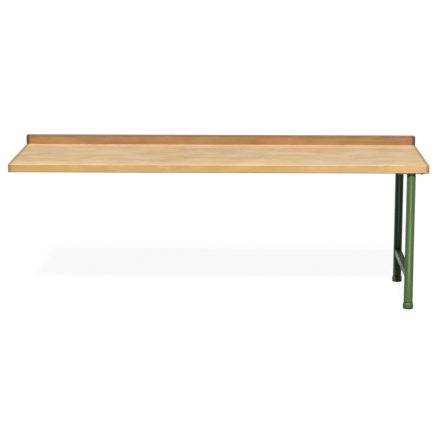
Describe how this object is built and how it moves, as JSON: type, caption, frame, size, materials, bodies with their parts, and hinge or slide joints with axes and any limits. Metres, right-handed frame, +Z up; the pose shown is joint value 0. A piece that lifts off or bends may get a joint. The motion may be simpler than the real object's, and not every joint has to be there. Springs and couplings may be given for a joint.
{
  "type": "extension workbench",
  "caption": "Long beech workbench top with a rear upstand, carried at its right end by a green welded leg frame on levelling feet; the left end bolts to the next bench.",
  "frame": {"origin": "on the floor, under the middle of the worktop's length and of the bench's whole depth", "axes": "+X along the worktop towards the end that has the leg frame, +Y towards the upstand and the wall, +Z up; the user stands on the -Y side"},
  "size_m": [2.5, 0.7, 0.95],
  "materials": {
    "beech_top": "oiled, satin",
    "beech_strip": "oiled, satin, darker than the top",
    "green_paint": "glossy powder coat, yellowish green",
    "green_foot": "glossy powder coat on a casting",
    "zinc_steel": "bright zinc plated",
    "brass_insert": "turned",
    "black_nylon": "moulded, matt"
  },
  "bodies": {
    "frame": {"worktop": "beech_top", "upstand": "beech_strip", "upstand_screws": "zinc_steel", "front_leg": "green_paint", "rear_leg": "green_paint", "upper_rail": "green_paint", "lower_rail": "green_paint", "front_top_plate": "green_paint", "rear_top_plate": "green_paint", "plate_bolts": "zinc_steel", "plate_washers": "zinc_steel", "plate_inserts": "brass_insert", "joint_inserts": "brass_insert", "front_leg_plug": "black_nylon", "rear_leg_plug": "black_nylon", "plug_nuts": "zinc_steel"},
    "front_pad": {"front_glide": "black_nylon"},
    "front_screw": {"front_foot": "green_foot", "front_stud": "zinc_steel"},
    "rear_pad": {"rear_glide": "black_nylon"},
    "rear_screw": {"rear_foot": "green_foot", "rear_stud": "zinc_steel"}
  },
  "joints": [
    {"name": "front_level", "type": "slide", "parent": "frame", "child": "front_pad", "axis": [0, 0, -1], "range_m": [0, 0.02]},
    {"name": "front_turn", "type": "hinge", "parent": "front_pad", "child": "front_screw", "pos_m": [1.148, -0.306, 0.02], "axis": [0, 0, -1], "range_deg": [0, 4115]},
    {"name": "rear_level", "type": "slide", "parent": "frame", "child": "rear_pad", "axis": [0, 0, -1], "range_m": [0, 0.02]},
    {"name": "rear_turn", "type": "hinge", "parent": "rear_pad", "child": "rear_screw", "pos_m": [1.148, 0.286, 0.02], "axis": [0, 0, -1], "range_deg": [0, 4115]}
  ],
  "couplings": [
    {"joint": "front_turn", "follows": "front_level", "rad_per_m": 3590.4},
    {"joint": "rear_turn", "follows": "rear_level", "rad_per_m": 3590.4}
  ]
}
